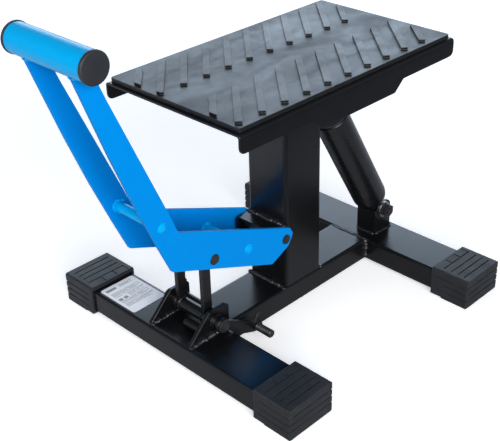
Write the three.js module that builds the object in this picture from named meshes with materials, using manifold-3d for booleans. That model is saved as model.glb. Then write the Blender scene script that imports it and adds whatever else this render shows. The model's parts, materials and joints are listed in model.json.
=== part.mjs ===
// Paddock stand: a foot-lever lift stand for off-road motorcycles, with a
// hydraulic damper that slows the platform as it is let down.
//
// Frame: millimetres, +Z up, floor at Z = 0.
//   X runs along the longitudinal beam, from the lever crossbar to the damper
//   crossbar. Y runs across, along the crossbars, with Y = 0 in the middle
//   plane. The stand is drawn lowered, with the lever raised.
//   The dimensions below count X from the middle of the lever crossbar. The
//   last lines move the whole stand so that the origin is on the floor under
//   the middle of its overall length.
//
// Every sub-part is one closed solid with its own name and material.

import * as THREE from "three";
import { mergeVertices } from "three/addons/utils/BufferGeometryUtils.js";
import Module from "manifold-3d";

const wasm = await Module();
wasm.setup();

// ---------------------------------------------------------------- dimensions
const GAP = 0.3;                    // between parts that touch on the object

const TUBE_W = 62, TUBE_H = 30;     // base tubes, wide side flat
const TUBE_T = 2.5, TUBE_R = 4;     // wall and corner radius
const TUBE_Z0 = 5;                  // underside of the base tubes
const TUBE_Z1 = TUBE_Z0 + TUBE_H;   // top of the base tubes
const BAR_SPAN = 325;               // crossbar centre to crossbar centre
const BAR_HALF = 188.5;               // half length of a crossbar

const FOOT_HALF = 194.5;              // outer end of a rubber foot
const FOOT_L = 53;                  // foot length along the crossbar
const FOOT_W = 69, FOOT_H = 41;

const COL_X = 169.5;                // column axis
const POST_W = 53, POST_T = 3, POST_TOP = 292;
const COL_W = 63, COL_T = 3, COL_Z0 = 36.2, COL_Z1 = 315;

const PLATE_X0 = -5, PLATE_X1 = 355, PLATE_Y = 105;   // steel platform
const PLATE_Z1 = 318.5, PLATE_T = 3;
const FLANGE_Z0 = 297, TAB_Z0 = 284;                   // folded long edges
const MAT_X0 = -1, MAT_X1 = 350.5, MAT_Y = 100.5;      // rubber mat
const MAT_Z0 = PLATE_Z1 + GAP, MAT_T = 5, RIB_H = 2.8, RIB_W = 7.6;
const RIB_PITCH = 33.5, RIB_DX = 64, RIB_DY = 70;

const P0 = [14, 52];                // link pivot on the base      (X, Z)
const P1 = [14, 139];               // link pivot on the lever
const P2 = [130.5, 112.5];          // lever pivot on the column
const PIN_R = 6;
const EAR_Y = 27.6, EAR_FAR = 35.6, EAR_T = 5;   // ears on the lever crossbar, inner faces
const ARM_Y = 34, ARM_T = 4;        // lever side plates, inner face and thickness
const HANDLE = [-134.5, 416.2];       // foot tube axis
const HANDLE_R = 15.8, HANDLE_HALF = 57.8, HANDLE_T = 2.5;
const CAP_R = HANDLE_R + 0.7;
const ROD_R = 6;                    // cross rods of the lever
const ROD_LOW = [67.3, 127.9], ROD_UP = [-57.3, 211.1];

const LINK_NEAR = -22.6, LINK_FAR = 21.6, LINK_T = 6, LINK_W = 12;   // the two links
const PIVOT_TUBE_R = 8.2;

const DAMP_Y = -16;                 // plane of the damper
const DB = [330, 67.5];               // damper lower pin
const DT = [225, 247.5];              // damper upper pin, platform lowered
const DAMP_R = 22.5;

// ----------------------------------------------------------------- materials
const mat = (color, roughness, metalness) =>
  new THREE.MeshStandardMaterial({ color, roughness, metalness });
const BLACK = () => mat(0x17181b, 0.42, 0.35);      // satin powder coat
const BLUE = () => mat(0x0a86e6, 0.38, 0.15);       // blue powder coat
const RUBBER = () => mat(0x2b2c2f, 0.85, 0.0);
const PLASTIC = () => mat(0x1e1f21, 0.6, 0.0);
const STEEL = () => mat(0x8b8f94, 0.35, 0.9);
const DARKSTEEL = () => mat(0x2e3034, 0.4, 0.8);
const NYLON = () => mat(0xd9d7cf, 0.55, 0.0);
const PAPER = () => mat(0xe9e9e7, 0.5, 0.0);

// ------------------------------------------------------------------- helpers
function toSolid(geometry) {
  let g = geometry.clone();
  g.deleteAttribute("normal");
  g.deleteAttribute("uv");
  if (!g.index) {
    const n = g.attributes.position.count;
    g.setIndex(Array.from({ length: n }, (_, i) => i));
  }
  g = mergeVertices(g, 1e-4);
  return new wasm.Manifold(new wasm.Mesh({
    numProp: 3,
    vertProperties: new Float32Array(g.attributes.position.array),
    triVerts: new Uint32Array(g.index.array),
  }));
}
function toGeometry(solid) {
  const m = solid.getMesh();
  const g = new THREE.BufferGeometry();
  g.setAttribute("position", new THREE.BufferAttribute(new Float32Array(m.vertProperties), 3));
  g.setIndex(new THREE.BufferAttribute(new Uint32Array(m.triVerts), 1));
  g.computeVertexNormals();
  return g;
}
const cut = (a, ...bs) => bs.reduce((s, b) => s.subtract(b), a);
const join = (a, ...bs) => bs.reduce((s, b) => s.add(b), a);

// box between two corners
function box(x0, y0, z0, x1, y1, z1) {
  const g = new THREE.BoxGeometry(x1 - x0, y1 - y0, z1 - z0);
  g.translate((x0 + x1) / 2, (y0 + y1) / 2, (z0 + z1) / 2);
  return toSolid(g);
}
// cylinder along Y through (x, z)
function cylY(x, z, r, y0, y1, n = 40) {
  const g = new THREE.CylinderGeometry(r, r, y1 - y0, n);
  g.translate(x, (y0 + y1) / 2, z);
  return toSolid(g);
}
// XZ outline extruded along Y from y0 to y1
function plateXZ(shape, y0, y1, curveSegments = 8) {
  const g = new THREE.ExtrudeGeometry(shape, { depth: y1 - y0, bevelEnabled: false, curveSegments });
  g.rotateX(Math.PI / 2);            // (x, y, z) -> (x, -z, y)
  g.translate(0, y1, 0);
  return toSolid(g);
}
// outline with rounded corners: points are [x, y, radius]
function rounded(points) {
  const s = new THREE.Shape();
  const n = points.length;
  for (let i = 0; i < n; i++) {
    const [x, y, r = 0] = points[i];
    const [px, py] = points[(i + n - 1) % n];
    const [nx, ny] = points[(i + 1) % n];
    if (r <= 0) { i === 0 ? s.moveTo(x, y) : s.lineTo(x, y); continue; }
    const a = new THREE.Vector2(px - x, py - y).normalize();
    const b = new THREE.Vector2(nx - x, ny - y).normalize();
    const half = Math.acos(Math.max(-1, Math.min(1, a.dot(b)))) / 2;
    const d = r / Math.tan(half);
    const p = [x + a.x * d, y + a.y * d], q = [x + b.x * d, y + b.y * d];
    i === 0 ? s.moveTo(p[0], p[1]) : s.lineTo(p[0], p[1]);
    s.quadraticCurveTo(x, y, q[0], q[1]);
  }
  s.closePath();
  return s;
}
function rectShape(w, h, r) {
  return rounded([[-w / 2, -h / 2, r], [w / 2, -h / 2, r], [w / 2, h / 2, r], [-w / 2, h / 2, r]]);
}
// hollow rectangular tube section, in its own XY plane, extruded along +Z
function tubeGeometry(w, h, t, r, length, seg = 4) {
  const s = rectShape(w, h, r);
  s.holes.push(rectShape(w - 2 * t, h - 2 * t, Math.max(r - t, 0.8)));
  return new THREE.ExtrudeGeometry(s, { depth: length, bevelEnabled: false, curveSegments: seg });
}
// ring about an axis along Y
const ringY = (x, z, ro, ri, y0, y1, n = 40) => cut(cylY(x, z, ro, y0, y1, n), cylY(x, z, ri, y0 - 1, y1 + 1, n));
// hexagonal prism along Y
const hexY = (x, z, af, y0, y1) => cylY(x, z, af / Math.sqrt(3), y0, y1, 6);

const root = new THREE.Group();
root.name = "paddock_stand";
function put(name, solid, material) {
  const mesh = new THREE.Mesh(solid.isBufferGeometry ? solid : toGeometry(solid), material);
  mesh.name = name;
  root.add(mesh);
}

// ------------------------------------------------------------------ the base
// Crossbars and beam: rectangular tube laid flat, welded into an H.
function crossbar(x) {
  const g = tubeGeometry(TUBE_W, TUBE_H, TUBE_T, TUBE_R, 2 * BAR_HALF);
  g.rotateX(-Math.PI / 2);
  g.translate(x, -BAR_HALF, (TUBE_Z0 + TUBE_Z1) / 2);
  return toSolid(g);
}
put("front_crossbar", crossbar(0), BLACK());
put("rear_crossbar", crossbar(BAR_SPAN), BLACK());
{
  const g = tubeGeometry(TUBE_H, TUBE_W, TUBE_T, TUBE_R, BAR_SPAN - TUBE_W - 2 * GAP);
  g.rotateY(Math.PI / 2);
  g.translate(TUBE_W / 2 + GAP, 0, (TUBE_Z0 + TUBE_Z1) / 2);
  put("base_beam", toSolid(g), BLACK());
}
// Rubber feet: ribbed caps pushed over the tube ends.
function foot(x, side) {
  const yo = FOOT_HALF, yi = FOOT_HALF - FOOT_L;
  const outer = new THREE.ExtrudeGeometry(
    rounded([[-FOOT_W / 2, 0, 2.5], [FOOT_W / 2, 0, 2.5], [FOOT_W / 2, FOOT_H, 3], [-FOOT_W / 2, FOOT_H, 3]]),
    { depth: FOOT_L, bevelEnabled: false, curveSegments: 4 });
  outer.rotateX(Math.PI / 2);
  outer.translate(0, yo, 0);
  let s = toSolid(outer);
  s = cut(s, box(-TUBE_W / 2 - GAP, yi - 1, TUBE_Z0 - GAP, TUBE_W / 2 + GAP, BAR_HALF + GAP, TUBE_Z1 + GAP));
  s = cut(s, box(-40, yi - 1, -1, 40, yi + 16, 2.6));        // raised inner lip
  for (const z of [11, 20, 29]) {                             // ribs round three sides
    const rib = cut(box(-FOOT_W, yi + 6, z, FOOT_W, yo + 2, z + 1.8),
                    box(-FOOT_W / 2 + 1.1, yi + 5, z - 1, FOOT_W / 2 - 1.1, yo - 1.1, z + 3));
    s = cut(s, rib);
  }
  for (const y of [12.2, 23.4, 32.8, 42.4]) s = cut(s, box(-27.5, yi + y, FOOT_H - 1.2, 27.5, yi + y + 1.7, FOOT_H + 1));
  for (const u of [-9.6, 8.8, 26]) s = cut(s, box(u, yi + 2, FOOT_H - 1.2, u + 1.5, yi + 12.8, FOOT_H + 1));
  if (side < 0) s = s.mirror([0, 1, 0]);
  return s.translate([x, 0, 0]);
}
put("foot_front_near", foot(0, -1), RUBBER());
put("foot_front_far", foot(0, 1), RUBBER());
put("foot_rear_near", foot(BAR_SPAN, -1), RUBBER());
put("foot_rear_far", foot(BAR_SPAN, 1), RUBBER());

// Fixed inner post of the telescopic column, with its upper guide bush.
{
  const g = tubeGeometry(POST_W, POST_W, POST_T, 5, POST_TOP - TUBE_Z1 - GAP);
  g.translate(COL_X, 0, TUBE_Z1 + GAP);
  put("inner_post", toSolid(g), BLACK());
  const b = tubeGeometry(COL_W - 2 * COL_T - 0.6, COL_W - 2 * COL_T - 0.6, 8, 1.6, 3);
  b.translate(COL_X, 0, POST_TOP + GAP);
  put("upper_guide_bush", toSolid(b), NYLON());
}
// Ears that carry the link pivot.
const earShape = rounded([[-26, TUBE_Z1 + GAP, 0], [28, TUBE_Z1 + GAP, 3], [37, 41, 3], [37, 66.3, 5], [7, 67.3, 3]]);
function ear(side) {
  const y0 = side < 0 ? -EAR_Y - EAR_T : EAR_FAR;
  return cut(plateXZ(earShape, y0, y0 + EAR_T), cylY(...P0, PIN_R + 0.3, y0 - 1, y0 + EAR_T + 1));
}
put("ear_near", ear(-1), BLACK());
put("ear_far", ear(1), BLACK());
put("link_stop_bar", cylY(27.6, 50.5, 5, -EAR_Y + GAP, EAR_FAR - GAP, 24), BLACK());
put("stop_stub", cylY(0.5, 41.6, 6, -EAR_Y + GAP, 2, 24), BLACK());
// Pivot shaft, headed on the far side, retained by a cap on the near side.
put("link_pivot_shaft", join(cylY(...P0, PIN_R, -49.5, 46, 40), cylY(...P0, 10, EAR_FAR + EAR_T + GAP, 46.6, 40)), DARKSTEEL());
put("pivot_washer", join(ringY(...P0, 10, PIN_R + 0.3, -35.4, -EAR_Y - EAR_T - GAP), ringY(...P0, 8, PIN_R + 0.3, -38.4, -35.2)), BLACK());
put("shaft_retainer", ringY(...P0, 7.8, PIN_R + 0.2, -49.5, -47.4), DARKSTEEL());
// Generic rating plate on the crossbar.
{
  const g = new THREE.ExtrudeGeometry(rounded([[-25.5, 68.5, 3.5], [25.5, 68.5, 3.5], [25.5, 135, 3.5], [-25.5, 135, 3.5]]),
    { depth: 0.4, bevelEnabled: false, curveSegments: 4 });
  g.translate(0, 0, TUBE_Z1 + 0.1);
  put("rating_plate", toSolid(g), PAPER());
}
// Clevis for the foot of the damper: a channel that stands on its base, with
// the web towards the column.
{
  const x = DB[0], xw = x - 17.5;
  const sh = rounded([[xw, TUBE_Z1 + 2, 0], [x + 15, TUBE_Z1 + 2, 0], [x + 15, DB[1] + 11, 11], [x - 8, DB[1] + 11, 7], [xw, DB[1] + 2, 3]]);
  let s = join(box(xw, DAMP_Y - 15, TUBE_Z1 + GAP, x + 17, DAMP_Y + 15, TUBE_Z1 + 4),
    box(xw, DAMP_Y - 13, TUBE_Z1 + 2, xw + 4, DAMP_Y + 13, DB[1] + 2),
    plateXZ(sh, DAMP_Y - 15, DAMP_Y - 11), plateXZ(sh, DAMP_Y + 11, DAMP_Y + 15));
  s = cut(s, cylY(...DB, 5.3, DAMP_Y - 30, DAMP_Y + 30));
  put("damper_clevis", s, BLACK());
  put("damper_lower_bolt", join(cylY(...DB, 5, DAMP_Y - 27.5, DAMP_Y + 16, 32), hexY(...DB, 16, DAMP_Y + 15.3, DAMP_Y + 22)), DARKSTEEL());
  put("damper_lower_washer", ringY(...DB, 11, 5.2, DAMP_Y - 17.3, DAMP_Y - 15.3), STEEL());
  put("damper_lower_nut", cut(hexY(...DB, 16, DAMP_Y - 25.5, DAMP_Y - 17.6), cylY(...DB, 5.2, DAMP_Y - 40, DAMP_Y)), DARKSTEEL());
}

// -------------------------------------------------------------- the platform
{
  const g = tubeGeometry(COL_W, COL_W, COL_T, 5, COL_Z1 - COL_Z0, 6);
  g.translate(COL_X, 0, COL_Z0);
  put("outer_column", toSolid(g), BLACK());
  const b = tubeGeometry(COL_W - 2 * COL_T - 0.6, COL_W - 2 * COL_T - 0.6, 1.3, 1.6, 30);
  b.translate(COL_X, 0, COL_Z0 + 2);
  put("lower_guide_bush", toSolid(b), NYLON());
}
// Steel channel: flat top, long edges folded down, a deeper tab in the middle.
{
  const y = PLATE_Y, z1 = PLATE_Z1, t = PLATE_T, r = 5;
  const prof = new THREE.Shape();      // section in YZ
  prof.moveTo(-y, TAB_Z0);
  prof.lineTo(-y, z1 - r); prof.quadraticCurveTo(-y, z1, -y + r, z1);
  prof.lineTo(y - r, z1); prof.quadraticCurveTo(y, z1, y, z1 - r);
  prof.lineTo(y, TAB_Z0); prof.lineTo(y - t, TAB_Z0);
  prof.lineTo(y - t, z1 - r); prof.quadraticCurveTo(y - t, z1 - t, y - r, z1 - t);
  prof.lineTo(-y + r, z1 - t); prof.quadraticCurveTo(-y + t, z1 - t, -y + t, z1 - r);
  prof.lineTo(-y + t, TAB_Z0); prof.closePath();
  const g = new THREE.ExtrudeGeometry(prof, { depth: PLATE_X1 - PLATE_X0, bevelEnabled: false, curveSegments: 6 });
  // (u, v, w) -> (x = w, y = u, z = v)
  g.applyMatrix4(new THREE.Matrix4().set(0, 0, 1, PLATE_X0, 1, 0, 0, 0, 0, 1, 0, 0, 0, 0, 0, 1));
  const x0 = PLATE_X0, x1 = PLATE_X1;
  const side = rounded([[x0, FLANGE_Z0, 8], [102, FLANGE_Z0, 2], [117, TAB_Z0, 3], [243, TAB_Z0, 3],
    [258, FLANGE_Z0, 2], [x1, FLANGE_Z0, 8], [x1, z1 + 5, 0], [x0, z1 + 5, 0]]);
  let s = toSolid(g).intersect(plateXZ(side, -y - 5, y + 5, 6));
  put("platform_channel", s, BLACK());
}
// Rubber mat with two rows of raised diagonal ribs.
{
  const z0 = MAT_Z0, zt = z0 + MAT_T;
  const sh = rounded([[MAT_X0, -MAT_Y, 3], [MAT_X1, -MAT_Y, 3], [MAT_X1, MAT_Y, 3], [MAT_X0, MAT_Y, 3]]);
  const base = new THREE.ExtrudeGeometry(sh, { depth: MAT_T, bevelEnabled: false, curveSegments: 3 });
  base.translate(0, 0, z0);
  let s = toSolid(base);
  const len = Math.hypot(RIB_DX, RIB_DY), ang = Math.atan2(RIB_DY, RIB_DX);
  const clip = box(MAT_X0 + 4, -MAT_Y + 3, zt - 1, MAT_X1 - 8, MAT_Y - 3, zt + RIB_H);
  const ribs = [];
  for (const [ox, yc] of [[35.2, 57], [38.9, -56.5]])
    for (let k = -1; k <= 9; k++) {
      const g = new THREE.BoxGeometry(len, RIB_W, RIB_H + 0.6);
      g.rotateZ(ang);
      g.translate(ox + k * RIB_PITCH, yc, zt + (RIB_H + 0.6) / 2 - 0.6);
      ribs.push(toSolid(g).intersect(clip));
    }
  s = join(s, ...ribs);
  put("rubber_mat", s, RUBBER());
}
// U-bracket on the front of the column, with the lever pivot pin.
{
  const yb = ARM_Y - 3.6, xf = 114, xc = COL_X - COL_W / 2 - GAP;
  const cheek = rounded([[xf, 97, 5], [xc, 97, 0], [xc, 124, 0], [xf, 124, 5]]);
  let s = join(plateXZ(cheek, -yb, -yb + 4), plateXZ(cheek, yb - 4, yb),
    box(xf + 2.5, -yb + 2, 120, xc, yb - 2, 124));
  s = cut(s, cylY(...P2, PIN_R + 0.25, -40, 40));
  put("lever_bracket", s, BLACK());
  put("lever_pivot_pin", cylY(...P2, PIN_R, -ARM_Y - ARM_T - 1.5, ARM_Y + ARM_T + 1.5), DARKSTEEL());
  put("lever_pin_washer_near", ringY(...P2, 8.2, PIN_R + 0.2, -ARM_Y + 0.3, -yb - 0.3), STEEL());
  put("lever_pin_washer_far", ringY(...P2, 8.2, PIN_R + 0.2, yb + 0.3, ARM_Y - 0.3), STEEL());
}
// Hanger under the platform for the top of the damper.
{
  const [x, z] = DT, zt = PLATE_Z1 - PLATE_T - GAP;
  const sh = rounded([[x - 11, zt, 0], [x - 11, z - 11, 8], [x + 11, z - 11, 8], [x + 22, zt, 0]]);
  let s = join(plateXZ(sh, DAMP_Y - 15, DAMP_Y - 11), plateXZ(sh, DAMP_Y + 11, DAMP_Y + 15),
    box(x - 11, DAMP_Y - 13, zt - 4, x + 21, DAMP_Y + 13, zt));
  s = cut(s, cylY(x, z, 4.3, -60, 60, 32));
  put("damper_hanger", s, BLACK());
  put("damper_upper_bolt", join(cylY(x, z, 4, DAMP_Y - 22, DAMP_Y + 16, 32), hexY(x, z, 13, DAMP_Y + 15.3, DAMP_Y + 20.5)), DARKSTEEL());
  put("damper_upper_nut", cut(hexY(x, z, 13, DAMP_Y - 21.5, DAMP_Y - 15.3), cylY(x, z, 4.2, -60, 0, 32)), DARKSTEEL());
}

// ----------------------------------------------------------------- the lever
// Two angled side plates joined by cross rods and the foot tube.
const armShape = rounded([
  [-47, 151.5, 3], [106.5, 88.5, 4], [135, 102, 5], [143, 116, 5], [137.5, 125.3, 4],
  [-35.2, 195.8, 4], [-49.5, 231.4, 30], [-109.4, 371.8, 0], [-124, 409, 0], [-147, 411, 0],
  [-112, 310.7, 60], [-88.8, 249.4, 60], [-65.1, 192.7, 0],
]);
function arm(side) {
  const y0 = side < 0 ? -ARM_Y - ARM_T : ARM_Y;
  return cut(plateXZ(armShape, y0, y0 + ARM_T, 5),
    cylY(...HANDLE, HANDLE_R + GAP, y0 - 1, y0 + ARM_T + 1, 48),
    cylY(...P2, PIN_R + 0.25, y0 - 1, y0 + ARM_T + 1),
    cylY(...P1, PIN_R + 0.7, y0 - 1, y0 + ARM_T + 1));
}
put("lever_plate_near", arm(-1), BLUE());
put("lever_plate_far", arm(1), BLUE());
put("upper_cross_rod", cylY(...ROD_UP, ROD_R, -ARM_Y + GAP, ARM_Y - GAP, 32), BLUE());
put("lower_cross_rod", cylY(...ROD_LOW, ROD_R, -ARM_Y + GAP, ARM_Y - GAP, 32), BLUE());
put("foot_tube", ringY(...HANDLE, HANDLE_R, HANDLE_R - HANDLE_T, -HANDLE_HALF, HANDLE_HALF, 48), BLUE());
function cap(side) {
  const pts = [[0, 0], [HANDLE_R - HANDLE_T - 0.2, 0], [HANDLE_R - HANDLE_T - 0.2, 10.3],
    [CAP_R, 10.3], [CAP_R, 12.8], [CAP_R - 0.5, 13.8], [CAP_R - 1.5, 14.2], [0, 14.2]]
    .map(([r, h]) => new THREE.Vector2(r, h));
  const g = new THREE.LatheGeometry(pts, 48);
  if (side < 0) g.rotateX(Math.PI);
  g.translate(HANDLE[0], side * (HANDLE_HALF - 10), HANDLE[1]);
  return toSolid(g);
}
put("tube_cap_near", cap(-1), PLASTIC());
put("tube_cap_far", cap(1), PLASTIC());
// Short riveted pins at the lever end of the links.
put("link_rivet_near", cylY(...P1, PIN_R + 0.4, -ARM_Y - ARM_T - 1.2, -ARM_Y + 0.1), DARKSTEEL());
put("link_rivet_far", cylY(...P1, PIN_R + 0.4, ARM_Y - 0.1, ARM_Y + ARM_T + 1.2), DARKSTEEL());

// ----------------------------------------------------------------- the links
put("link_pivot_tube", ringY(...P0, PIVOT_TUBE_R, PIN_R + 0.25, -EAR_Y + 0.4, EAR_FAR - 0.4), BLACK());
function link(side) {
  const y0 = side < 0 ? LINK_NEAR : LINK_FAR, w = LINK_W / 2;
  const pts = side < 0
    ? [[P0[0] - w, P0[1], 0], [P0[0] + w, P0[1], 0], [P1[0] + w, P1[1] + w + 3, 5], [P1[0] - w, P1[1] + w + 3, 5]]
    : [[P0[0] - w, P0[1], 0], [P0[0] + w, P0[1], 0], [P0[0] + w, P0[1] + 15, 0], [P0[0] + w + 1.8, P0[1] + 17, 0],
       [P0[0] + w + 1.8, P0[1] + 30, 0], [P0[0] + w, P0[1] + 33, 0], [P1[0] + w, P1[1] + w + 3, 5], [P1[0] - w, P1[1] + w + 3, 5]];
  return cut(plateXZ(rounded(pts), y0, y0 + LINK_T),
    cylY(...P0, PIVOT_TUBE_R + GAP, y0 - 1, y0 + LINK_T + 1),
    cylY(...P1, 4.3, y0 - 1, y0 + LINK_T + 1, 32));
}
put("link_near", link(-1), BLACK());
put("link_far", link(1), BLACK());
put("link_spindle", cylY(...P1, 4, -ARM_Y + 0.8, ARM_Y - 0.8, 32), DARKSTEEL());

// ----------------------------------------------------------------- the latch
// Foot latch that turns on the near end of the pivot shaft.
{
  const y0 = -47.1, y1 = -42.2;
  const end = [69.5, 21.5];
  const bar = rounded([[P0[0], P0[1] + 8, 0], [31, 50, 6], [58, 34.5, 5], [66, 27, 2], [77, 27, 4], [79.5, 16, 4], [66, 15.5, 5], [44, 24, 8], [33, 38, 6], [P0[0], 44, 0]]);
  let s = join(plateXZ(bar, y0, y1), cylY(...P0, 9, y0, y1, 40));
  s = cut(s, cylY(...P0, PIN_R + 0.3, y0 - 1, y1 + 1));
  put("latch_arm", s, BLACK());
  // threaded foot stud
  const pts = [[0, 0], [5.2, 0]];
  for (let i = 0; i < 8; i++) pts.push([5.2, 1.2 + i * 2.6], [4.5, 1.9 + i * 2.6], [4.5, 2.7 + i * 2.6], [5.2, 3.4 + i * 2.6]);
  pts.push([5.2, 22.4], [4.2, 23.4], [0, 23.4]);
  const g = new THREE.LatheGeometry(pts.map(([r, h]) => new THREE.Vector2(r, h)), 24);
  g.rotateX(Math.PI);
  g.translate(end[0], y0 - GAP, end[1]);
  put("latch_stud", toSolid(g), DARKSTEEL());
  // bent wire end of the latch spring
  const path = new THREE.CatmullRomCurve3([
    [62.8, 32.4], [66.6, 29.4], [69.3, 31.4], [70.7, 34.9], [74.4, 37], [79.3, 36.1],
  ].map(([x, z]) => new THREE.Vector3(x, -44.6, z)));
  const ws = new THREE.Shape(); ws.absarc(0, 0, 1.1, 0, 2 * Math.PI);
  const wg = new THREE.ExtrudeGeometry(ws, { steps: 20, extrudePath: path, bevelEnabled: false, curveSegments: 5 });
  put("latch_spring_wire", toSolid(wg), DARKSTEEL());
}

// ---------------------------------------------------------------- the damper
// Built upright along +Z from its lower pin, then leaned into place.
const lean = Math.atan2(DT[0] - DB[0], DT[1] - DB[1]);
const eyeToEye = Math.hypot(DT[0] - DB[0], DT[1] - DB[1]);
function leaned(solid) {
  return solid.rotate([0, (lean * 180) / Math.PI, 0]).translate([DB[0], DAMP_Y, DB[1]]);
}
const lathe = (pts, n = 48) => {
  const g = new THREE.LatheGeometry(pts.map(([r, h]) => new THREE.Vector2(r, h)), n);
  g.rotateX(Math.PI / 2);              // lathe axis Y -> Z
  return toSolid(g);
};
put("damper_body", leaned(lathe([[0, 16.5], [13, 16.5], [18.2, 18.2], [21.4, 21.8], [DAMP_R, 27], [DAMP_R, 189.4], [21.5, 191],
  [20.2, 191], [20.2, 26], [0, 26]])), BLACK());
{
  let s = join(cylY(0, 0, 12.4, -10.6, 10.6), box(-8, -8, 0, 8, 8, 16.1));
  s = cut(s, cylY(0, 0, 5.3, -20, 20));
  put("damper_lower_eye", leaned(s), DARKSTEEL());
}
put("damper_gland", leaned(lathe([[7.4, 179], [19.9, 179], [19.9, 191.6], [18.4, 192.5], [7.4, 192.5], [7.4, 179]])), PLASTIC());
put("damper_rod", leaned(lathe([[0, 44], [7, 44], [7, eyeToEye - 14.4], [0, eyeToEye - 14.4]], 32)), STEEL());
put("damper_piston", leaned(lathe([[7.3, 46], [19.8, 46], [19.8, 56], [7.3, 56], [7.3, 46]])), DARKSTEEL());
{
  let s = cylY(0, eyeToEye, 10.9, -10.6, 10.6);
  s = join(s, box(-6, -6, eyeToEye - 14.1, 6, 6, eyeToEye - 9.5));
  s = cut(s, cylY(0, eyeToEye, 8.1, -20, 20));
  put("damper_upper_eye", leaned(s), DARKSTEEL());
}

// The origin: on the floor, under the middle of the overall length.
root.position.x = -(HANDLE[0] - CAP_R + BAR_SPAN + FOOT_W / 2) / 2;

export default root;
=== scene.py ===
import json
import math
import bpy
import bmesh
from mathutils import Matrix, Vector, noise


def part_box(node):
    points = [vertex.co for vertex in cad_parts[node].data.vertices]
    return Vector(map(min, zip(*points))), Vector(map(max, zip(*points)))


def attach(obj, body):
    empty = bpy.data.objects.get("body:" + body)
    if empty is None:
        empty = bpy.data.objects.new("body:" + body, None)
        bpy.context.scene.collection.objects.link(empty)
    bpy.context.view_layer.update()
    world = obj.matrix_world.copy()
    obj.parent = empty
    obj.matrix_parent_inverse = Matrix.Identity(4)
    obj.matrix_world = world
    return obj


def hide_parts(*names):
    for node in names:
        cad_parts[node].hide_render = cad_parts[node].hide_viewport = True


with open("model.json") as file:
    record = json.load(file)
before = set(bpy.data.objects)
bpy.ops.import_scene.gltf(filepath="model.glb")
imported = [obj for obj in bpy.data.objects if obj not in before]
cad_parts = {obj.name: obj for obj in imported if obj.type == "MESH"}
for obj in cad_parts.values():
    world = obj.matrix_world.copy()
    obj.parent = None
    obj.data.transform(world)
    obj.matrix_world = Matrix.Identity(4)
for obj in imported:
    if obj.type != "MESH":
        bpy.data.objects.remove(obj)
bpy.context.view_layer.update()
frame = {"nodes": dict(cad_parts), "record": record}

NODES = frame["nodes"]
BODY = {n: b for b, ns in frame["record"]["behaviour"]["bodies"].items() for n in ns}
SCENE = bpy.context.scene
MM = 0.001
OX = -(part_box("front_crossbar")[0][0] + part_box("front_crossbar")[1][0]) / 2   # middle of the lever crossbar to the origin


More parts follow.
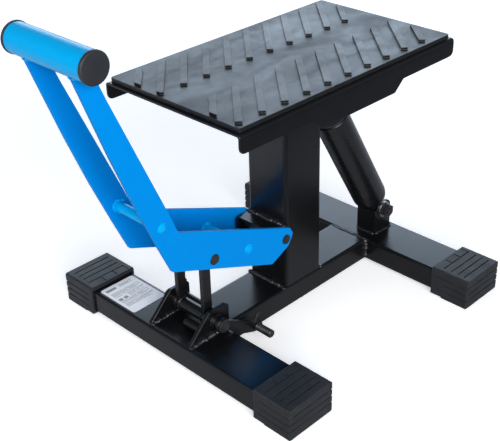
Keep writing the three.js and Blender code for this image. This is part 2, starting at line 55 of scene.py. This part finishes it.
# ------------------------------------------------------------------ materials
class Tree:
    """A small helper that wires shader nodes."""

    def __init__(self, name):
        self.m = bpy.data.materials.new(name)
        self.m.use_nodes = True
        self.t = self.m.node_tree
        self.t.nodes.clear()
        self.out = self.t.nodes.new("ShaderNodeOutputMaterial")
        self.bsdf = self.t.nodes.new("ShaderNodeBsdfPrincipled")
        self.t.links.new(self.bsdf.outputs[0], self.out.inputs[0])
        self.co = self.t.nodes.new("ShaderNodeTexCoord").outputs["Object"]

    def node(self, kind, **props):
        n = self.t.nodes.new(kind)
        for k, v in props.items():
            setattr(n, k, v)
        return n

    def link(self, a, b):
        self.t.links.new(a, b)

    def noise(self, scale, detail=2.0, rough=0.5, vec=None, distortion=0.0):
        n = self.node("ShaderNodeTexNoise")
        n.inputs["Scale"].default_value = scale
        n.inputs["Detail"].default_value = detail
        n.inputs["Roughness"].default_value = rough
        n.inputs["Distortion"].default_value = distortion
        self.link(vec or self.co, n.inputs["Vector"])
        return n.outputs["Fac"]

    def voronoi(self, scale, vec=None, feature="F1"):
        n = self.node("ShaderNodeTexVoronoi", feature=feature)
        n.inputs["Scale"].default_value = scale
        self.link(vec or self.co, n.inputs["Vector"])
        return n.outputs["Distance"]

    def stretched(self, sx, sy, sz):
        n = self.node("ShaderNodeMapping")
        n.inputs["Scale"].default_value = (sx, sy, sz)
        self.link(self.co, n.inputs["Vector"])
        return n.outputs["Vector"]

    def ramp(self, fac, stops):
        n = self.node("ShaderNodeValToRGB")
        e = n.color_ramp.elements
        while len(e) < len(stops):
            e.new(0.5)
        for el, (p, c) in zip(e, stops):
            el.position = p
            el.color = (*c, 1) if len(c) == 3 else c
        self.link(fac, n.inputs["Fac"])
        return n.outputs["Color"]

    def remap(self, fac, a, b, lo, hi):
        n = self.node("ShaderNodeMapRange")
        n.inputs["From Min"].default_value = a
        n.inputs["From Max"].default_value = b
        n.inputs["To Min"].default_value = lo
        n.inputs["To Max"].default_value = hi
        self.link(fac, n.inputs["Value"])
        return n.outputs["Result"]

    def math(self, op, a, b=0.0):
        n = self.node("ShaderNodeMath", operation=op)
        for i, v in enumerate((a, b)):
            if isinstance(v, (int, float)):
                n.inputs[i].default_value = v
            else:
                self.link(v, n.inputs[i])
        return n.outputs[0]

    def mix(self, fac, a, b):
        n = self.node("ShaderNodeMix", data_type="RGBA")
        for key, v in ((0, fac), (6, a), (7, b)):
            if isinstance(v, (int, float)):
                n.inputs[key].default_value = v
            elif isinstance(v, tuple):
                n.inputs[key].default_value = (*v, 1)
            else:
                self.link(v, n.inputs[key])
        return n.outputs[2]

    def edges(self, radius=0.0009, lo=0.015, hi=0.10):
        """1 on a rounded edge, 0 on a flat: how far the softened normal leaves the true one."""
        b = self.node("ShaderNodeBevel")
        b.samples = 4
        b.inputs["Radius"].default_value = radius
        g = self.node("ShaderNodeNewGeometry")
        d = self.node("ShaderNodeVectorMath", operation="DOT_PRODUCT")
        self.link(b.outputs["Normal"], d.inputs[0])
        self.link(g.outputs["True Normal"], d.inputs[1])
        return self.remap(self.math("SUBTRACT", 1.0, d.outputs["Value"]), lo, hi, 0.0, 1.0)

    def bump(self, *layers):
        prev = None
        for height, strength, dist in layers:
            n = self.node("ShaderNodeBump")
            n.inputs["Strength"].default_value = strength
            n.inputs["Distance"].default_value = dist
            self.link(height, n.inputs["Height"])
            if prev is not None:
                self.link(prev, n.inputs["Normal"])
            prev = n.outputs["Normal"]
        self.link(prev, self.bsdf.inputs["Normal"])

    def set(self, name, value):
        s = self.bsdf.inputs[name]
        if hasattr(value, "is_linked") or hasattr(value, "node"):
            self.link(value, s)
        else:
            s.default_value = value


def powder(name, dark, light, rough, wear, orange=0.05, spec=0.5, cloud=46, speckle=0.22, tint=(1.0, 1.0, 1.0)):
    """Powder-coated steel: fine orange peel, faint clouding, edges rubbed a little."""
    t = Tree(name)
    base = t.ramp(t.noise(cloud, 4, 0.6), [(0.36, dark), (0.66, light)])
    speck = t.remap(t.noise(520, 2, 0.6), 0.72, 0.80, 0.0, speckle)
    base = t.mix(speck, base, wear)
    rub = t.math("MULTIPLY", t.edges(), t.remap(t.noise(85, 4, 0.7), 0.46, 0.66, 0.0, 0.55))
    base = t.mix(rub, base, wear)
    t.set("Base Color", base)
    t.set("Roughness", t.remap(t.noise(24, 5, 0.6), 0.3, 0.7, rough - 0.022, rough + 0.028))
    t.set("Specular IOR Level", spec)
    t.set("Specular Tint", (*tint, 1.0))
    t.bump((t.noise(700, 2, 0.5), orange, 0.00025), (t.noise(190, 2, 0.5), orange * 0.5, 0.0006))
    return t.m


def rubber(name, dark, light, rough, dust):
    t = Tree(name)
    cloud = t.noise(22, 5, 0.65)
    base = t.ramp(cloud, [(0.3, dark), (0.7, light)])
    d = t.remap(t.noise(55, 6, 0.75), 0.52, 0.72, 0.0, 0.35)
    base = t.mix(d, base, dust)
    rub = t.math("MULTIPLY", t.edges(0.0012), t.remap(t.noise(120, 3, 0.6), 0.4, 0.6, 0.0, 0.6))
    base = t.mix(rub, base, dust)
    t.set("Base Color", base)
    t.set("Roughness", t.remap(t.noise(60, 4, 0.6), 0.3, 0.7, rough - 0.06, rough + 0.08))
    t.set("Specular IOR Level", 0.45)
    t.bump((t.noise(900, 3, 0.7), 0.22, 0.0003), (t.voronoi(420), 0.10, 0.0003))
    return t.m


def mat_rubber(name, dark, light, rough, dust, rib_z, rib_dark, rib_light):
    """The mat's face: smooth moulded rubber with wiped, slightly shinier streaks, painted shade on the rib walls,
    and edges lifted to the dust colour as edge dust and a painted highlight.
    """
    t = Tree(name)
    sheet = t.ramp(t.noise(30, 5, 0.65), [(0.3, dark), (0.7, light)])
    ribs = t.ramp(t.noise(95, 5, 0.65), [(0.3, rib_dark), (0.7, rib_light)])
    sep = t.node("ShaderNodeSeparateXYZ")
    t.link(t.co, sep.inputs[0])
    on_rib = t.remap(sep.outputs["Z"], rib_z - 0.0012, rib_z - 0.0004, 0.0, 1.0)
    base = t.mix(on_rib, sheet, ribs)
    # Rib walls, between the sheet and the rib tops, get painted shade: their colour is pulled to near-black as if
    # the creases round each rib lay in shadow.
    over_sheet = t.remap(sep.outputs["Z"], rib_z - 0.0028 + 0.0003, rib_z - 0.0028 + 0.0007, 0.0, 1.0)
    painted_wall_shade = t.math("MULTIPLY", over_sheet, t.math("SUBTRACT", 1.0, on_rib))
    base = t.mix(t.math("MULTIPLY", painted_wall_shade, 0.8), base, (0.004, 0.004, 0.005))
    base = t.mix(t.remap(t.noise(240, 4, 0.7), 0.60, 0.74, 0.0, 0.4), base, dust)
    # The mat's rounded edges are lifted towards the dust colour: partly edge dust, partly a painted highlight along
    # the mat's front edge.
    rub = t.math("MULTIPLY", t.edges(0.0012), t.remap(t.noise(120, 3, 0.6), 0.4, 0.6, 0.0, 0.6))
    base = t.mix(rub, base, dust)
    t.set("Base Color", base)
    wipe = t.noise(9, 5, 0.6, t.stretched(1.0, 2.6, 1.0), 0.8)
    fine = t.noise(70, 4, 0.6)
    t.set("Roughness", t.math("ADD", t.remap(wipe, 0.34, 0.66, rough - 0.09, rough + 0.09), t.remap(fine, 0.3, 0.7, -0.03, 0.04)))
    # Painted shade on the rib walls also weakens their specular.
    t.set("Specular IOR Level", t.remap(painted_wall_shade, 0.0, 1.0, 0.55, 0.10))
    t.bump((t.noise(1100, 3, 0.7), 0.13, 0.00025), (t.noise(60, 3, 0.5), 0.05, 0.0012))
    return t.m


def plastic(name, dark, light, rough):
    t = Tree(name)
    t.set("Base Color", t.ramp(t.noise(30, 4, 0.6), [(0.3, dark), (0.7, light)]))
    t.set("Roughness", t.remap(t.noise(80, 4, 0.6), 0.3, 0.7, rough - 0.05, rough + 0.07))
    t.bump((t.noise(1300, 2, 0.6), 0.16, 0.0002),)
    return t.m


def steel(name, dark, light, rough, metallic=1.0):
    t = Tree(name)
    t.set("Base Color", t.ramp(t.noise(60, 5, 0.7), [(0.3, dark), (0.7, light)]))
    t.set("Metallic", metallic)
    t.set("Roughness", t.remap(t.noise(140, 5, 0.7), 0.3, 0.7, rough - 0.08, rough + 0.12))
    t.bump((t.noise(700, 3, 0.6, t.stretched(1, 0.08, 1)), 0.12, 0.0002),)
    return t.m


def nylon(name):
    t = Tree(name)
    t.set("Base Color", t.ramp(t.noise(40, 3, 0.5), [(0.3, (0.62, 0.60, 0.54)), (0.7, (0.74, 0.72, 0.66))]))
    t.set("Roughness", t.remap(t.noise(90, 3, 0.5), 0.3, 0.7, 0.45, 0.6))
    t.set("Subsurface Weight", 0.15)
    t.bump((t.noise(500, 2, 0.5), 0.1, 0.0003),)
    return t.m


def paper(name, a, b, rough=0.42):
    t = Tree(name)
    t.set("Base Color", t.ramp(t.noise(45, 5, 0.6), [(0.3, a), (0.75, b)]))
    t.set("Roughness", t.remap(t.noise(120, 3, 0.6), 0.3, 0.7, rough - 0.05, rough + 0.1))
    t.bump((t.noise(260, 3, 0.6), 0.08, 0.0003),)
    return t.m


MAT = {
    "powder_black": powder("powder_coat_black", (0.0046, 0.0048, 0.0056), (0.0058, 0.0061, 0.0071), 0.25, (0.030, 0.032, 0.037), spec=0.52),
    "powder_blue": powder("powder_coat_blue", (0.0002, 0.268, 0.785), (0.0003, 0.276, 0.805), 0.36, (0.004, 0.38, 0.92), orange=0.04, spec=0.05, cloud=110, speckle=0.12),
    # A brighter copy of the blue powder coat for the foot tube, the cross rods and the lever beads: its lighter base
    # colour is painted light, the same paint made brighter where the round parts catch the lamps.
    "powder_blue_lit_copy": powder("powder_coat_blue_lit_copy", (0.0002, 0.455, 0.950), (0.0003, 0.470, 0.970), 0.21, (0.006, 0.50, 0.98), orange=0.04, spec=0.26, cloud=110, speckle=0.12, tint=(0.03, 0.55, 1.0)),
    "rubber": rubber("rubber_foot", (0.0150, 0.0165, 0.0195), (0.0235, 0.0255, 0.0300), 0.50, (0.055, 0.059, 0.068)),
    "rubber_mat": mat_rubber("rubber_mat_face", (0.0065, 0.0072, 0.0085), (0.0130, 0.0135, 0.0150), 0.38, (0.055, 0.055, 0.057),
                             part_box("rubber_mat")[1].z, (0.030, 0.028, 0.027), (0.062, 0.058, 0.056)),
    "cap_plastic": plastic("cap_plastic", (0.019, 0.021, 0.026), (0.030, 0.033, 0.040), 0.48),
    "zinc_steel": steel("zinc_steel", (0.42, 0.43, 0.45), (0.62, 0.63, 0.65), 0.30),
    "dark_steel": steel("blackened_steel", (0.030, 0.030, 0.033), (0.075, 0.075, 0.080), 0.36, 0.6),
    "nylon": nylon("guide_nylon"),
    "gloss_black": powder("gloss_coat_black", (0.0040, 0.0042, 0.0050), (0.0052, 0.0054, 0.0064), 0.27, (0.030, 0.032, 0.037), orange=0.03, spec=0.72, speckle=0.12),
    "weld_black": powder("weld_bead_black", (0.0075, 0.0080, 0.0095), (0.014, 0.0145, 0.017), 0.22, (0.055, 0.057, 0.063), orange=0.22, spec=0.6, cloud=260),
    "label": paper("label_face", (0.86, 0.865, 0.88), (0.93, 0.935, 0.95)),
    "label_print": paper("label_print", (0.22, 0.225, 0.235), (0.30, 0.305, 0.32), 0.5),
}
SLOT = {s["node"]: s["material_slot"] for s in frame["record"]["subparts"]}


# --------------------------------------------------------------------- pieces
def add(name, bm, mat, body, smooth_angle=35, weighted=True):
    me = bpy.data.meshes.new(name)
    bm.to_mesh(me)
    bm.free()
    for p in me.polygons:
        p.use_smooth = True
    me.set_sharp_from_angle(angle=math.radians(smooth_angle))
    me.materials.append(MAT[mat])
    o = bpy.data.objects.new(name, me)
    SCENE.collection.objects.link(o)
    if weighted:
        w = o.modifiers.new("weighted", "WEIGHTED_NORMAL")
        w.keep_sharp = True
    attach(o, body)
    return o


def refine(node, width=0.6, segments=2, mat=None, angle=32, smooth=38):
    """A finished copy of a CAD node: coplanar facets merged and every hard edge rounded."""
    bm = bmesh.new()
    bm.from_mesh(NODES[node].data)
    bmesh.ops.remove_doubles(bm, verts=bm.verts, dist=1e-6)
    bmesh.ops.dissolve_limit(bm, angle_limit=math.radians(0.8), verts=bm.verts, edges=bm.edges)
    bmesh.ops.recalc_face_normals(bm, faces=bm.faces)
    hard = [e for e in bm.edges if len(e.link_faces) == 2 and e.calc_face_angle(0) > math.radians(angle)]
    if width and hard:
        bmesh.ops.bevel(bm, geom=hard, offset=width * MM, offset_type="OFFSET", segments=segments,
                        profile=0.5, affect="EDGES", clamp_overlap=True)
    o = add(node + "_skin", bm, mat or SLOT[node], BODY[node], smooth)
    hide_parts(node)
    return o


ROUND = {
    "platform_channel": 0.7, "outer_column": 0.5, "front_crossbar": 0.4, "rear_crossbar": 0.4, "base_beam": 0.4,
    "foot_front_near": 0.9, "foot_front_far": 0.9, "foot_rear_near": 0.9, "foot_rear_far": 0.9,
    "rubber_mat": 0.8, "lever_plate_near": 0.45, "lever_plate_far": 0.45, "foot_tube": 0.4,
    "ear_near": 0.6, "ear_far": 0.6, "lever_bracket": 0.8, "damper_clevis": 0.6, "damper_hanger": 0.6,
    "link_near": 0.8, "link_far": 0.8, "latch_arm": 0.8, "inner_post": 0.4, "damper_body": 0.5,
}
for n in NODES:
    refine(n, ROUND.get(n, 0.35), mat={"rubber_mat": "rubber_mat", "foot_tube": "powder_blue_lit_copy", "upper_cross_rod": "powder_blue_lit_copy",
                                     "lower_cross_rod": "powder_blue_lit_copy", "damper_body": "gloss_black"}.get(n))


# --------------------------------------------------------------------- welds
def V(x, y, z):
    """Millimetres from the middle of the lever crossbar, on the floor, to the frame."""
    return Vector((x * MM - OX, y * MM, z * MM))


class Beads:
    """Weld beads of one body: rippled, slightly uneven, with tapered ends."""

    def __init__(self, seed):
        self.bm = bmesh.new()
        self.seed = seed
        self.count = 0

    def run(self, points, out, r=2.0, closed=False, flat=0.72, pitch=2.0, sides=9):
        self.count += 1
        off = Vector((self.seed * 3.7 + self.count * 1.9, self.count * 0.7, 0.3))
        pts = [V(*p) for p in points]
        if closed:
            pts.append(pts[0])
        lens = [(b - a).length for a, b in zip(pts, pts[1:])]
        total = sum(lens)
        n = max(6, int(total / (0.55 * MM)))
        rings = []
        last = n if closed else n + 1
        for i in range(last):
            d = total * i / n
            k = 0
            while k < len(lens) - 1 and d > lens[k]:
                d -= lens[k]
                k += 1
            p = pts[k].lerp(pts[k + 1], d / lens[k])
            t = (pts[k + 1] - pts[k]).normalized()
            o = out(p) if callable(out) else Vector(out)
            o = (o - t * o.dot(t)).normalized()
            side = t.cross(o)
            w = total * i / n / MM
            swell = 1 + 0.15 * math.sin(2 * math.pi * w / pitch) + 0.42 * noise.noise(off + Vector((w * 0.16, 0, 0))) + 0.22 * noise.noise(off + Vector((w * 0.55, 2, 0)))
            if not closed:
                e = min(i, n - i) * 0.55
                swell *= min(1.0, math.sqrt(max(0.0, e / (r * 1.1)))) if e < r * 1.1 else 1.0
            p = p + side * (0.28 * r * MM * noise.noise(off + Vector((0, w * 0.11, 4.0))))
            rr = max(0.05, r * swell) * MM
            ring = []
            for j in range(sides):
                a = 2 * math.pi * j / sides
                lump = 1 + 0.20 * noise.noise(off + Vector((w * 0.5, math.cos(a) * 1.3, math.sin(a) * 1.3)))
                ring.append(self.bm.verts.new(p + side * (math.cos(a) * rr * lump) + o * (math.sin(a) * rr * flat * lump)))
            rings.append(ring)
        m = len(rings)
        for i in range(m if closed else m - 1):
            A, B = rings[i], rings[(i + 1) % m]
            for j in range(sides):
                q = (j + 1) % sides
                self.bm.faces.new((A[j], A[q], B[q], B[j]))
        if not closed:
            self.bm.faces.new(list(reversed(rings[0])))
            self.bm.faces.new(rings[-1])

    def ring(self, x, z, y, radius, r=1.3, a0=0, a1=360, out_y=-1):
        """A bead round an axis along Y, at height y."""
        steps = 40
        full = abs(a1 - a0) >= 360
        pts = []
        for i in range(steps if full else steps + 1):
            a = math.radians(a0 + (a1 - a0) * i / steps)
            pts.append((x + radius * math.cos(a), y, z + radius * math.sin(a)))
        c = V(x, y, z)
        self.run(pts, lambda p: (p - c).normalized() + Vector((0, out_y, 0)), r, closed=full)

    def blob(self, x, y, z, r, out=(0, 0, 1), squash=0.6):
        """A lump where a bead stops."""
        self.count += 1
        off = Vector((self.seed + self.count * 2.3, 1.7, self.count))
        made = bmesh.ops.create_icosphere(self.bm, subdivisions=3, radius=1.0)["verts"]
        o = Vector(out).normalized()
        c = V(x, y, z)
        for v in made:
            d = v.co.normalized()
            k = 1 + 0.28 * noise.noise(d * 1.6 + off) + 0.10 * noise.noise(d * 4 + off)
            h = d.dot(o)
            q = (d - o * h) + o * (h * squash)
            v.co = c + q * (r * MM * k)

    def done(self, name, mat, body):
        bmesh.ops.recalc_face_normals(self.bm, faces=self.bm.faces)
        return add(name, self.bm, mat, body, 60, weighted=False)


# base: ears, beam joints, column foot, clevis, stop bar
w = Beads(1)
w.run([(-24, -34.2, 35.7), (36, -34.2, 35.7)], (0, -1, 1), 3.0)
w.run([(-24, 34.2, 35.7), (36, 34.2, 35.7)], (0, -1, 1), 2.4)
w.run([(-24, -26.2, 35.6), (-8, -26.2, 35.6)], (0, 1, 1), 1.7)
w.run([(-22, 42.1, 35.6), (35, 42.1, 35.6)], (0, 1, 1), 1.9)
w.blob(-24.6, 34.0, 35.4, 3.0, (0, 0, 1))
w.blob(-15.5, 33.6, 35.6, 2.8, (0, -1, 1))
w.blob(-24.8, -34.2, 35.5, 3.2, (0, 0, 1))
w.run([(31.1, -28, 35.0), (31.1, 28, 35.0)], (0, 0, 1), 1.7, flat=0.45)
w.run([(32.2, -31.9, 8), (32.2, -31.9, 33)], (1, -1, 0), 2.3)
w.run([(32.2, 31.9, 8), (32.2, 31.9, 33)], (1, 1, 0), 2.1)
w.run([(293.9, -28, 35.0), (293.9, 28, 35.0)], (0, 0, 1), 1.9, flat=0.45)
w.run([(293.2, -31.6, 7), (293.2, -31.6, 34.0)], (-1, -1, 0), 4.2, pitch=5.0)
w.run([(292.8, 31.9, 8), (292.8, 31.9, 33.5)], (-1, 1, 0), 2.6)
w.blob(293.0, -31.0, 34.4, 3.8, (-1, -1, 1))
w.run([(135.3, -30.5, 35.5), (135.3, 30.5, 35.5)], (-1, 0, 1), 3.2, pitch=2.8)
w.run([(203.5, -29.5, 35.5), (203.5, 29.5, 35.5)], (1, 0, 1), 2.1)
for bx in (135.2, 203.8):
    for by in (-29.0, 29.0):
        w.blob(bx, by, 35.4, 3.2, (0, 0, 1))
w.run([(311.2, -30.5, 35.6), (311.2, -1.5, 35.6)], (-1, 0, 1), 1.9)
w.run([(313.5, -32.2, 35.6), (346.5, -32.2, 35.6)], (0, -1, 1), 2.0)
w.run([(313.5, 0.2, 35.6), (346.5, 0.2, 35.6)], (0, 1, 1), 1.9)
w.run([(348.2, -30.0, 35.6), (348.2, -2.0, 35.6)], (1, 0, 1), 1.8)
w.ring(27.6, 50.5, -26.9, 5.4, 1.3, -115, 115, out_y=1)
w.ring(27.6, 50.5, 34.9, 5.4, 1.3, -115, 115, out_y=-1)
w.ring(0.5, 41.6, -26.9, 6.4, 1.2, 0, 180, out_y=1)
w.done("base_weld_beads", "weld_black", "base")

# platform: lever bracket, column head, damper hanger
w = Beads(2)
w.run([(136.4, -28.2, 124.9), (136.4, 28.2, 124.9)], (-1, 0, 1), 3.6, pitch=3.0)
w.blob(136.2, 28.6, 124.6, 3.4, (-1, 0, 1))
w.blob(136.2, -28.6, 124.6, 3.0, (-1, 0, 1))
w.run([(136.9, -31.0, 98.5), (136.9, -31.0, 123)], (-1, -1, 0), 1.5)
w.run([(136.9, 31.0, 98.5), (136.9, 31.0, 123)], (-1, 1, 0), 1.5)
w.run([(136.6, -29, 314.2), (136.6, 29, 314.2)], (-1, 0, -1), 2.0)
w.run([(202.4, -29, 314.2), (202.4, 29, 314.2)], (1, 0, -1), 2.0)
w.run([(140, -32.9, 314.2), (199, -32.9, 314.2)], (0, -1, -1), 2.0)
w.run([(140, 32.9, 314.2), (199, 32.9, 314.2)], (0, 1, -1), 2.0)
w.run([(216, -32.0, 314.4), (245, -32.0, 314.4)], (0, -1, -1), 1.7)
w.run([(216, 0.0, 314.4), (245, 0.0, 314.4)], (0, 1, -1), 1.7)
w.done("platform_weld_beads", "weld_black", "platform")

# lever: foot tube, cross rods, plug welds on the outer faces
HX, HZ = -134.5, 416.2
w = Beads(3)
for k in (-1, 1):
    w.ring(HX, HZ, k * 38.8, 16.4, 1.5, -130, -10, out_y=k)
    w.ring(HX, HZ, k * 33.2, 16.4, 1.5, -130, -10, out_y=-k)
    for rx, rz in ((-57.3, 211.1), (67.3, 127.9)):
        w.ring(rx, rz, k * 33.0, 6.9, 1.7, out_y=-k)
for k in (-1, 1):
    w.blob(-57.3, k * 38.0, 211.1, 5.8, (0, k, 0), squash=0.24)
    w.ring(67.3, 127.9, k * 38.0, 5.3, 0.95, out_y=k)
    w.blob(67.3, k * 37.8, 127.9, 3.9, (0, k, 0), squash=0.12)
w.blob(-57.3, 31.4, 204.6, 3.0, (0, -1, 0))
w.blob(-52.0, 31.8, 216.0, 2.6, (0, -1, 0))
w.blob(67.3, 31.6, 134.4, 2.8, (0, -1, 1))
w.done("lever_weld_beads", "powder_blue_lit_copy", "lever")

# links on their pivot tube
w = Beads(4)
for yy, oy in ((-23.0, -1), (-16.2, 1), (21.2, -1), (28.0, 1)):
    w.ring(14, 52, yy, 8.5, 0.95, 58, 322, out_y=oy)
w.done("link_weld_beads", "weld_black", "links")


# ---------------------------------------------------------- print on the label
def label_marks():
    """Plain grey bars where a rating label carries its print."""
    lo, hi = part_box("rating_plate")
    bm = bmesh.new()
    z = hi.z

    def bar(x0, x1, y0, y1):
        vs = [bm.verts.new((x, y, zz)) for zz in (z - 0.00005, z + 0.00006) for x, y in ((x0, y0), (x1, y0), (x1, y1), (x0, y1))]
        for f in ((3, 2, 1, 0), (4, 5, 6, 7), (0, 1, 5, 4), (1, 2, 6, 5), (2, 3, 7, 6), (3, 0, 4, 7)):
            bm.faces.new([vs[i] for i in f])

    # a heading block at the far end, two small squares, then rows running across
    x0, x1 = lo.x + 4 * MM, hi.x - 4 * MM
    y = hi.y - 10 * MM
    bar(x0, x0 + 15 * MM, y, y + 4.5 * MM)
    for i in range(3):
        bar(x0 + 20 * MM, x1 - (3 + 5 * (i % 2)) * MM, y + (0.1 + 1.75 * i) * MM, y + (0.8 + 1.75 * i) * MM)
    y -= 4.2 * MM
    for row in range(16):
        y -= 1.1 * MM if row % 4 == 0 else 0.0
        y -= 2.05 * MM
        if 5 <= row <= 8:
            if row == 8:
                for k in range(2):
                    bar(x0 + k * 8 * MM, x0 + (k * 8 + 5.6) * MM, y, y + 5.2 * MM)
            a = x0 + 17 * MM
        else:
            a = x0
        b = x1 - 9 * MM * (0.5 + 0.5 * math.sin(row * 2.3)) * (row % 4 != 0)
        m = a + (b - a) * (0.45 + 0.2 * math.sin(row * 1.3))
        bar(a, m, y, y + 0.75 * MM)
        bar(m + 1.4 * MM, b, y, y + 0.75 * MM)
    o = add("rating_plate_marks", bm, "label_print", "base", 30, weighted=False)
    return o


label_marks()


# ---------------------------------------------------------------------- stage
def backdrop():
    bm = bmesh.new()
    for x, y in ((-8, -8), (8, -8), (8, 8), (-8, 8)):
        bm.verts.new((x, y, -0.0002))
    bm.faces.new(bm.verts)
    me = bpy.data.meshes.new("studio_floor")
    bm.to_mesh(me)
    bm.free()
    t = Tree("studio_floor")
    seen = t.ramp(t.noise(3, 2), [(0.3, (0.90, 0.905, 0.91)), (0.7, (0.92, 0.925, 0.93))])
    # The camera sees the floor evenly white, lit by its own glow for camera rays only. Every other ray sees a
    # painted shade instead: dark towards the front, light behind, which darkens what the parts reflect and the light
    # the floor sends back to them.
    camera_ray = t.node("ShaderNodeLightPath").outputs["Is Camera Ray"]
    away = t.node("ShaderNodeVectorMath", operation="DOT_PRODUCT")
    t.link(t.co, away.inputs[0])
    away.inputs[1].default_value = (0.15, 0.99, 0.0)
    painted_bounce_shade = t.ramp(t.remap(away.outputs["Value"], -0.50, 0.25, 0.0, 1.0), [(0.0, (0.12, 0.125, 0.14)), (1.0, (0.82, 0.83, 0.86))])
    t.set("Base Color", t.mix(camera_ray, painted_bounce_shade, seen))
    t.set("Emission Color", (1.0, 1.0, 1.0, 1))
    t.set("Emission Strength", t.math("MULTIPLY", camera_ray, 0.50))
    t.set("Roughness", 0.9)
    t.set("Specular IOR Level", 0.0)
    me.materials.append(t.m)
    o = bpy.data.objects.new("studio_floor", me)
    SCENE.collection.objects.link(o)


backdrop()

world = bpy.data.worlds.new("studio") if not bpy.data.worlds else bpy.data.worlds[0]
SCENE.world = world
world.use_nodes = True
wt = world.node_tree
wt.nodes.clear()
wo = wt.nodes.new("ShaderNodeOutputWorld")
wb = wt.nodes.new("ShaderNodeBackground")
wv = wt.nodes.new("ShaderNodeBackground")
wm = wt.nodes.new("ShaderNodeMixShader")
wl = wt.nodes.new("ShaderNodeLightPath")
wc = wt.nodes.new("ShaderNodeTexCoord")
ws = wt.nodes.new("ShaderNodeSeparateXYZ")
wr = wt.nodes.new("ShaderNodeValToRGB")
wt.links.new(wc.outputs["Generated"], ws.inputs[0])
wt.links.new(ws.outputs["Z"], wr.inputs["Fac"])
e = wr.color_ramp.elements
e[0].position, e[0].color = 0.0, (0.32, 0.33, 0.37, 1)
e[1].position, e[1].color = 0.55, (0.10, 0.105, 0.12, 1)
wt.links.new(wr.outputs["Color"], wb.inputs["Color"])
wb.inputs["Strength"].default_value = 1.0
wv.inputs["Color"].default_value = (1, 1, 1, 1)
wt.links.new(wl.outputs["Is Camera Ray"], wm.inputs[0])
wt.links.new(wb.outputs[0], wm.inputs[1])
wt.links.new(wv.outputs[0], wm.inputs[2])
wt.links.new(wm.outputs[0], wo.inputs[0])


def area(name, loc, target, size, radiance, color=(1, 1, 1)):
    d = bpy.data.lights.new(name, "AREA")
    d.shape = "RECTANGLE"
    d.size, d.size_y = size
    d.energy = radiance * math.pi * size[0] * size[1]
    d.color = color
    o = bpy.data.objects.new(name, d)
    SCENE.collection.objects.link(o)
    o.location = loc
    o.rotation_euler = (Vector(target) - Vector(loc)).to_track_quat("-Z", "Y").to_euler()
    return o


area("back_softbox", (1.70, 1.72, 1.02), (0.05, 0, 0.1), (3.6, 1.25), 2.75, (0.66, 0.82, 1.0))
area("key_softbox", (-1.10, -2.15, 1.12), (0.0, 0, 0.15), (1.9, 1.4), 8.5)
area("side_softbox", (-2.1, 0.5, 1.3), (0.0, 0, 0.15), (1.3, 1.3), 2.4)

# --------------------------------------------------------------------- camera
AZ, EL, ROLL = map(math.radians, (-44.4683, 30.3396, -1.7632))
back = Vector((math.sin(AZ) * math.cos(EL), -math.cos(AZ) * math.cos(EL), math.sin(EL)))
right = (-back).cross(Vector((0, 0, 1))).normalized()
up = right.cross(-back)
r2 = right * math.cos(ROLL) + up * math.sin(ROLL)
u2 = -right * math.sin(ROLL) + up * math.cos(ROLL)
cam = bpy.data.cameras.new("camera")
cam.sensor_width = 36.0
cam.sensor_fit = "HORIZONTAL"
cam.lens = 992.45 / 500 * 36.0
cam.clip_start, cam.clip_end = 0.05, 50
co = bpy.data.objects.new("camera", cam)
SCENE.collection.objects.link(co)
rot = Matrix((r2, u2, back)).transposed().to_4x4()
co.matrix_world = Matrix.Translation((-0.61046 - OX, -0.73227, 0.73393)) @ rot
SCENE.camera = co
SCENE.view_settings.view_transform = "Standard"
